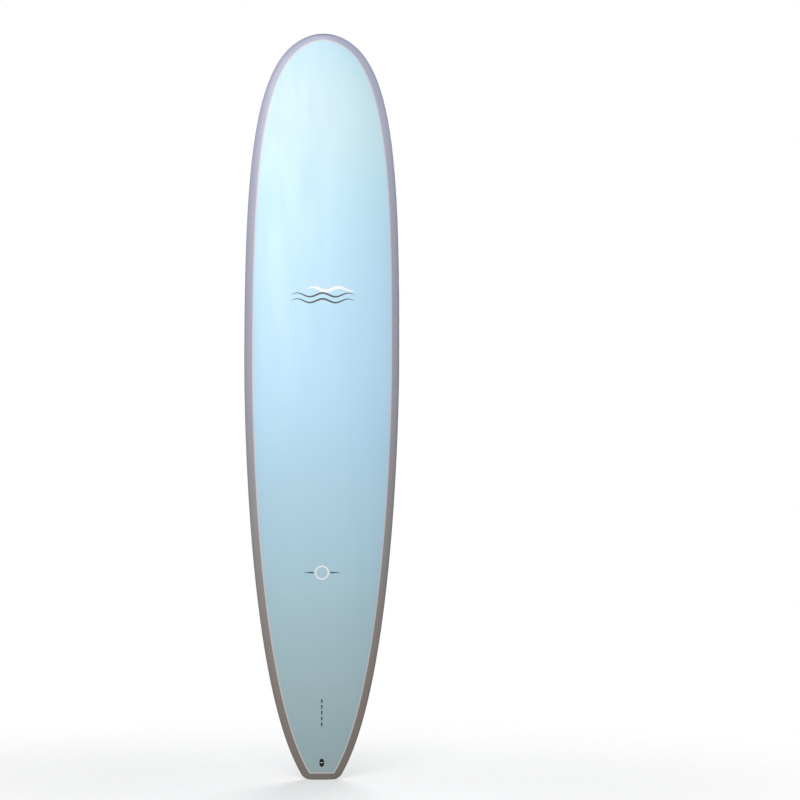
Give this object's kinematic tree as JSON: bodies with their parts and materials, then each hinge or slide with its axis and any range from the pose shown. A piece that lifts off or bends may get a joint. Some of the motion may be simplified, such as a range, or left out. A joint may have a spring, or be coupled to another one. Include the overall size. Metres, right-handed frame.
{
  "type": "longboard surfboard",
  "caption": "Long round-nosed surfboard with a narrow squared tail, slotted fin boxes under the tail and a leash cup on the deck.",
  "frame": {"origin": "middle of the flat tail end", "axes": "+Z from the tail to the nose, +X to the rider's right, the deck faces -Y and the bottom +Y"},
  "size_m": [0.585, 0.134, 2.794],
  "materials": {
    "deck_blue": "gloss",
    "pinline": "gloss",
    "rail_grey": "gloss",
    "sandwich_foam": "matte",
    "foam_white": "matte",
    "insert_foam": "matte",
    "wood": "raw",
    "black_plastic": "satin",
    "clear_plastic": "clear",
    "steel": "polished"
  },
  "bodies": {
    "board": {"deck_laminate": "deck_blue", "pinline": "pinline", "bottom_laminate": "rail_grey", "deck_sandwich_sheet": "sandwich_foam", "bottom_sandwich_sheet": "sandwich_foam", "core_foam_port": "foam_white", "core_foam_starboard": "foam_white", "stringer": "wood", "centre_fin_insert": "insert_foam", "leash_insert": "insert_foam", "side_fin_insert_port": "insert_foam", "side_fin_insert_starboard": "insert_foam", "centre_fin_box": "black_plastic", "side_fin_box_port": "clear_plastic", "side_fin_box_starboard": "clear_plastic", "leash_cup": "black_plastic", "leash_pin": "steel"},
    "screw_port_front": {"fin_screw_port_front": "steel"},
    "screw_port_rear": {"fin_screw_port_rear": "steel"},
    "screw_starboard_front": {"fin_screw_starboard_front": "steel"},
    "screw_starboard_rear": {"fin_screw_starboard_rear": "steel"}
  },
  "joints": [
    {"name": "screw_port_front_travel", "type": "slide", "parent": "board", "child": "screw_port_front", "axis": [0.3626, 0.9257, -0.1073], "range_m": [-0.003, 0.004]},
    {"name": "screw_port_rear_travel", "type": "slide", "parent": "board", "child": "screw_port_rear", "axis": [-0.6252, 0.7783, -0.058], "range_m": [-0.003, 0.004]},
    {"name": "screw_starboard_front_travel", "type": "slide", "parent": "board", "child": "screw_starboard_front", "axis": [-0.3626, 0.9257, -0.1073], "range_m": [-0.003, 0.004]},
    {"name": "screw_starboard_rear_travel", "type": "slide", "parent": "board", "child": "screw_starboard_rear", "axis": [0.6252, 0.7783, -0.058], "range_m": [-0.003, 0.004]}
  ]
}
